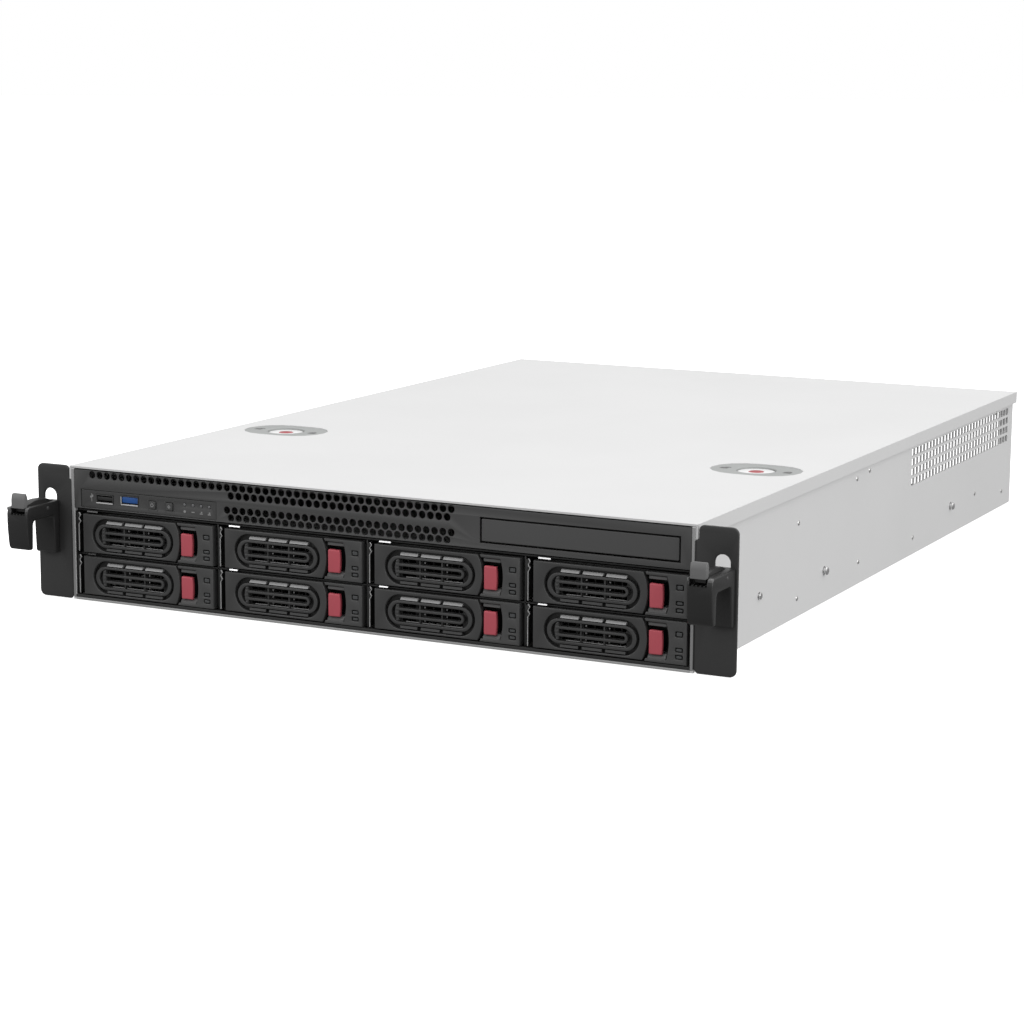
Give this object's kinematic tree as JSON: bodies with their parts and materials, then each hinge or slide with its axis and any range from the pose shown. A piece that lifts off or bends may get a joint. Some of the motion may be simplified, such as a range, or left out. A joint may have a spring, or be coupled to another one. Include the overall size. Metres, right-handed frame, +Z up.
{
  "type": "nas enclosure",
  "caption": "Two-unit rack NAS enclosure: sheet-metal case, hot-swap drive trays with levers, front ports, pull handles, sliding cover.",
  "frame": {"origin": "on the ground under the middle of the enclosure's bounding box", "axes": "+Z up, -Y towards the drive trays, +X to the right seen from the front"},
  "size_m": [0.4826, 0.6836, 0.0865],
  "materials": {
    "light_paint": "fine satin powder coat, light grey",
    "bare_steel": "zinc-plated sheet steel",
    "black_paint": "black powder coat",
    "black_plastic": "fine-grained black plastic",
    "lever_black": "fine-grained black plastic",
    "grey_plastic": "dark grey moulded plastic",
    "latch_grey": "grey moulded plastic",
    "latch_white": "white plastic with a red mark",
    "red_plastic": "red moulded plastic",
    "port_steel": "nickel-plated shell",
    "board_green": "solder-masked circuit board",
    "clear_pipe": "frosted clear plastic"
  },
  "bodies": {
    "chassis": {"base_pan": "bare_steel", "side_panel_left": "light_paint", "side_panel_right": "light_paint", "rear_panel": "bare_steel", "slot_cover_bank": "bare_steel", "front_panel": "black_paint", "optical_bay_cover": "black_plastic", "usb2_port": "port_steel", "usb3_port": "port_steel", "status_light_pipe": "clear_pipe", "cage_top_plate": "bare_steel", "cage_shelf": "bare_steel", "cage_divider_1": "bare_steel", "cage_divider_2": "bare_steel", "cage_divider_3": "bare_steel", "backplane": "board_green", "fan_bracket": "bare_steel", "fan_frame_1": "black_plastic", "fan_frame_2": "black_plastic", "fan_frame_3": "black_plastic", "rack_ear_left": "black_paint", "rack_ear_right": "black_paint", "ear_handle_left": "black_plastic", "ear_handle_right": "black_plastic"},
    "cover": {"top_cover": "light_paint", "cover_latch_plate_left": "latch_grey", "cover_latch_plate_right": "latch_grey"},
    "cover_button_left": {"cover_latch_button_left": "latch_white"},
    "cover_button_right": {"cover_latch_button_right": "latch_white"},
    "power_key": {"power_button": "black_plastic"},
    "reset_key": {"reset_button": "black_plastic"},
    "rack_lever_left": {"rack_latch_left": "grey_plastic"},
    "rack_lever_right": {"rack_latch_right": "grey_plastic"},
    "tray_1": {"drive_tray_1": "black_plastic"},
    "lever_1": {"tray_lever_1": "lever_black"},
    "release_1": {"tray_button_1": "red_plastic"},
    "tray_2": {"drive_tray_2": "black_plastic"},
    "lever_2": {"tray_lever_2": "lever_black"},
    "release_2": {"tray_button_2": "red_plastic"},
    "tray_3": {"drive_tray_3": "black_plastic"},
    "lever_3": {"tray_lever_3": "lever_black"},
    "release_3": {"tray_button_3": "red_plastic"},
    "tray_4": {"drive_tray_4": "black_plastic"},
    "lever_4": {"tray_lever_4": "lever_black"},
    "release_4": {"tray_button_4": "red_plastic"},
    "tray_5": {"drive_tray_5": "black_plastic"},
    "lever_5": {"tray_lever_5": "lever_black"},
    "release_5": {"tray_button_5": "red_plastic"},
    "tray_6": {"drive_tray_6": "black_plastic"},
    "lever_6": {"tray_lever_6": "lever_black"},
    "release_6": {"tray_button_6": "red_plastic"},
    "tray_7": {"drive_tray_7": "black_plastic"},
    "lever_7": {"tray_lever_7": "lever_black"},
    "release_7": {"tray_button_7": "red_plastic"},
    "tray_8": {"drive_tray_8": "black_plastic"},
    "lever_8": {"tray_lever_8": "lever_black"},
    "release_8": {"tray_button_8": "red_plastic"},
    "fan_1": {"fan_rotor_1": "black_plastic"},
    "fan_2": {"fan_rotor_2": "black_plastic"},
    "fan_3": {"fan_rotor_3": "black_plastic"}
  },
  "joints": [
    {"name": "cover_slide", "type": "slide", "parent": "chassis", "child": "cover", "axis": [0, 1, 0], "range_m": [0, 0.018]},
    {"name": "cover_button_left_press", "type": "slide", "parent": "cover", "child": "cover_button_left", "axis": [0, 0, -1], "range_m": [0, 0.0025], "stiffness_N_per_m": 1200, "springref_m": -0.001},
    {"name": "cover_button_right_press", "type": "slide", "parent": "cover", "child": "cover_button_right", "axis": [0, 0, -1], "range_m": [0, 0.0025], "stiffness_N_per_m": 1200, "springref_m": -0.001},
    {"name": "power_key_press", "type": "slide", "parent": "chassis", "child": "power_key", "axis": [0, 1, 0], "range_m": [0, 0.001], "stiffness_N_per_m": 1000, "springref_m": -0.0005},
    {"name": "reset_key_press", "type": "slide", "parent": "chassis", "child": "reset_key", "axis": [0, 1, 0], "range_m": [0, 0.001], "stiffness_N_per_m": 1000, "springref_m": -0.0005},
    {"name": "rack_lever_left_tilt", "type": "hinge", "parent": "chassis", "child": "rack_lever_left", "pos_m": [-0.2314, -0.3192, 0.0602], "axis": [1, 0, 0], "range_deg": [0, 8], "stiffness_Nm_per_rad": 0.5, "springref_deg": -5.73},
    {"name": "rack_lever_right_tilt", "type": "hinge", "parent": "chassis", "child": "rack_lever_right", "pos_m": [0.2314, -0.3192, 0.0602], "axis": [1, 0, 0], "range_deg": [0, 8], "stiffness_Nm_per_rad": 0.5, "springref_deg": -5.73},
    {"name": "tray_1_slide", "type": "slide", "parent": "chassis", "child": "tray_1", "axis": [0, -1, 0], "range_m": [0, 0.16]},
    {"name": "lever_1_swing", "type": "hinge", "parent": "tray_1", "child": "lever_1", "pos_m": [-0.2046, -0.3046, 0.04375], "axis": [0, 0, -1], "range_deg": [0, 75]},
    {"name": "release_1_press", "type": "slide", "parent": "tray_1", "child": "release_1", "axis": [0, 1, 0], "range_m": [0, 0.002], "stiffness_N_per_m": 800, "springref_m": -0.001},
    {"name": "tray_2_slide", "type": "slide", "parent": "chassis", "child": "tray_2", "axis": [0, -1, 0], "range_m": [0, 0.16]},
    {"name": "lever_2_swing", "type": "hinge", "parent": "tray_2", "child": "lever_2", "pos_m": [-0.098, -0.3046, 0.04375], "axis": [0, 0, -1], "range_deg": [0, 75]},
    {"name": "release_2_press", "type": "slide", "parent": "tray_2", "child": "release_2", "axis": [0, 1, 0], "range_m": [0, 0.002], "stiffness_N_per_m": 800, "springref_m": -0.001},
    {"name": "tray_3_slide", "type": "slide", "parent": "chassis", "child": "tray_3", "axis": [0, -1, 0], "range_m": [0, 0.16]},
    {"name": "lever_3_swing", "type": "hinge", "parent": "tray_3", "child": "lever_3", "pos_m": [0.0086, -0.3046, 0.04375], "axis": [0, 0, -1], "range_deg": [0, 75]},
    {"name": "release_3_press", "type": "slide", "parent": "tray_3", "child": "release_3", "axis": [0, 1, 0], "range_m": [0, 0.002], "stiffness_N_per_m": 800, "springref_m": -0.001},
    {"name": "tray_4_slide", "type": "slide", "parent": "chassis", "child": "tray_4", "axis": [0, -1, 0], "range_m": [0, 0.16]},
    {"name": "lever_4_swing", "type": "hinge", "parent": "tray_4", "child": "lever_4", "pos_m": [0.1152, -0.3046, 0.04375], "axis": [0, 0, -1], "range_deg": [0, 75]},
    {"name": "release_4_press", "type": "slide", "parent": "tray_4", "child": "release_4", "axis": [0, 1, 0], "range_m": [0, 0.002], "stiffness_N_per_m": 800, "springref_m": -0.001},
    {"name": "tray_5_slide", "type": "slide", "parent": "chassis", "child": "tray_5", "axis": [0, -1, 0], "range_m": [0, 0.16]},
    {"name": "lever_5_swing", "type": "hinge", "parent": "tray_5", "child": "lever_5", "pos_m": [-0.2046, -0.3046, 0.01645], "axis": [0, 0, -1], "range_deg": [0, 75]},
    {"name": "release_5_press", "type": "slide", "parent": "tray_5", "child": "release_5", "axis": [0, 1, 0], "range_m": [0, 0.002], "stiffness_N_per_m": 800, "springref_m": -0.001},
    {"name": "tray_6_slide", "type": "slide", "parent": "chassis", "child": "tray_6", "axis": [0, -1, 0], "range_m": [0, 0.16]},
    {"name": "lever_6_swing", "type": "hinge", "parent": "tray_6", "child": "lever_6", "pos_m": [-0.098, -0.3046, 0.01645], "axis": [0, 0, -1], "range_deg": [0, 75]},
    {"name": "release_6_press", "type": "slide", "parent": "tray_6", "child": "release_6", "axis": [0, 1, 0], "range_m": [0, 0.002], "stiffness_N_per_m": 800, "springref_m": -0.001},
    {"name": "tray_7_slide", "type": "slide", "parent": "chassis", "child": "tray_7", "axis": [0, -1, 0], "range_m": [0, 0.16]},
    {"name": "lever_7_swing", "type": "hinge", "parent": "tray_7", "child": "lever_7", "pos_m": [0.0086, -0.3046, 0.01645], "axis": [0, 0, -1], "range_deg": [0, 75]},
    {"name": "release_7_press", "type": "slide", "parent": "tray_7", "child": "release_7", "axis": [0, 1, 0], "range_m": [0, 0.002], "stiffness_N_per_m": 800, "springref_m": -0.001},
    {"name": "tray_8_slide", "type": "slide", "parent": "chassis", "child": "tray_8", "axis": [0, -1, 0], "range_m": [0, 0.16]},
    {"name": "lever_8_swing", "type": "hinge", "parent": "tray_8", "child": "lever_8", "pos_m": [0.1152, -0.3046, 0.01645], "axis": [0, 0, -1], "range_deg": [0, 75]},
    {"name": "release_8_press", "type": "slide", "parent": "tray_8", "child": "release_8", "axis": [0, 1, 0], "range_m": [0, 0.002], "stiffness_N_per_m": 800, "springref_m": -0.001},
    {"name": "fan_1_spin", "type": "hinge", "parent": "chassis", "child": "fan_1", "pos_m": [-0.13, -0.0321, 0.0428], "axis": [0, 1, 0], "continuous": true},
    {"name": "fan_2_spin", "type": "hinge", "parent": "chassis", "child": "fan_2", "pos_m": [0, -0.0321, 0.0428], "axis": [0, 1, 0], "continuous": true},
    {"name": "fan_3_spin", "type": "hinge", "parent": "chassis", "child": "fan_3", "pos_m": [0.13, -0.0321, 0.0428], "axis": [0, 1, 0], "continuous": true}
  ]
}
